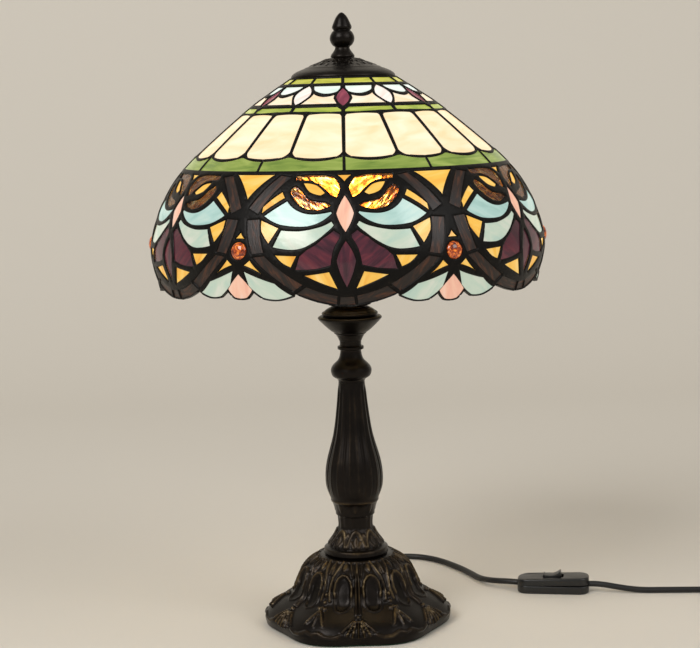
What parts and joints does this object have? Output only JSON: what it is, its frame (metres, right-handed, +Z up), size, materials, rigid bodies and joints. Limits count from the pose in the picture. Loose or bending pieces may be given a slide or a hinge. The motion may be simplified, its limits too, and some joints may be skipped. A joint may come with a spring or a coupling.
{
  "type": "stained glass table lamp",
  "caption": "Leaded glass dome shade on a harp above a turned stem and a lobed cast base, with a flex, an inline rocker switch and a plug.",
  "frame": {"origin": "centre of the rest face, on the surface the lamp stands on", "axes": "+Z up along the stem and the shade's axis, -Y is the front, the flex leaves towards +Y"},
  "size_m": [0.528, 0.3345, 0.4844],
  "materials": {
    "cast_bronze": "dark bronze patina over cast zinc alloy, rubbed on the high points",
    "steel": "zinc plated",
    "cast_iron": "as cast",
    "brass": "satin, slightly tarnished",
    "felt": "pressed wool felt",
    "rubber": "moulded, matt",
    "black_plastic": "moulded, half gloss",
    "porcelain": "glazed",
    "bulb_glass": "frosted, warm white",
    "green_glass": "streaky opalescent sheet, copper foiled and soldered",
    "crown_glass": "opalescent sheet in pale blue, peach, pink and purple pieces",
    "cream_glass": "cream opalescent sheet",
    "medallion_glass": "streaky sheet in brown, amber, sea green, pink and purple pieces",
    "amber_glass": "pressed cabochon"
  },
  "bodies": {
    "lamp": {"base_casting": "cast_bronze", "base_weight": "cast_iron", "felt_pad": "felt", "threaded_rod": "steel", "bottom_nut": "steel", "bottom_washer": "steel", "base_collar": "cast_bronze", "stem_baluster": "cast_bronze", "stem_knop": "cast_bronze", "socket_cup": "cast_bronze", "lampholder_cap": "brass", "lampholder_shell": "brass", "lampholder_insert": "porcelain", "centre_contact": "brass", "harp_saddle": "brass", "harp": "brass", "harp_stud": "brass", "cord_bush": "rubber", "lead_under_base": "rubber", "lead_in_rod": "rubber", "switch_base": "black_plastic", "switch_cover": "black_plastic", "switch_contact": "brass", "switch_screw_1": "steel", "switch_screw_2": "steel", "cord_clamp_1": "black_plastic", "cord_clamp_2": "black_plastic", "cord_to_switch": "rubber", "cord_from_switch": "rubber", "cord_coil": "rubber", "cord_to_plug": "rubber", "plug_body": "black_plastic", "plug_pin_1": "brass", "plug_pin_2": "brass", "plug_relief": "rubber"},
    "shade": {"crown_cap": "cast_bronze", "shade_top_ring": "brass", "glass_top_green": "green_glass", "glass_crown_ring": "crown_glass", "glass_upper_green": "green_glass", "glass_cream": "cream_glass", "glass_lower_green": "green_glass", "medallion_1": "medallion_glass", "medallion_2": "medallion_glass", "medallion_3": "medallion_glass", "medallion_4": "medallion_glass", "medallion_5": "medallion_glass", "medallion_6": "medallion_glass", "jewel_1": "amber_glass", "jewel_2": "amber_glass", "jewel_3": "amber_glass", "jewel_4": "amber_glass", "jewel_5": "amber_glass", "jewel_6": "amber_glass"},
    "finial": {"finial": "cast_bronze"},
    "bulb": {"bulb_glass": "bulb_glass", "bulb_cap": "steel"},
    "rocker": {"rocker": "black_plastic"},
    "ferrule_left": {"ferrule_left": "brass"},
    "ferrule_right": {"ferrule_right": "brass"}
  },
  "joints": [
    {"name": "shade_turn", "type": "hinge", "parent": "lamp", "child": "shade", "pos_m": [0, 0, 0.447], "axis": [0, 0, 1], "continuous": true},
    {"name": "finial_turn", "type": "hinge", "parent": "lamp", "child": "finial", "pos_m": [0, 0, 0.455], "axis": [0, 0, 1], "range_deg": [0, 2160]},
    {"name": "bulb_turn", "type": "hinge", "parent": "lamp", "child": "bulb", "pos_m": [0, 0, 0.29], "axis": [0, 0, 1], "range_deg": [0, 1080]},
    {"name": "rocker_tilt", "type": "hinge", "parent": "lamp", "child": "rocker", "pos_m": [0.166, 0.0665, 0.0108], "axis": [0.1736, 0.9848, 0], "range_deg": [0, 22]},
    {"name": "ferrule_left_slide", "type": "slide", "parent": "lamp", "child": "ferrule_left", "axis": [0, 0, 1], "range_m": [0, 0.012]},
    {"name": "ferrule_right_slide", "type": "slide", "parent": "lamp", "child": "ferrule_right", "axis": [0, 0, 1], "range_m": [0, 0.012]}
  ]
}
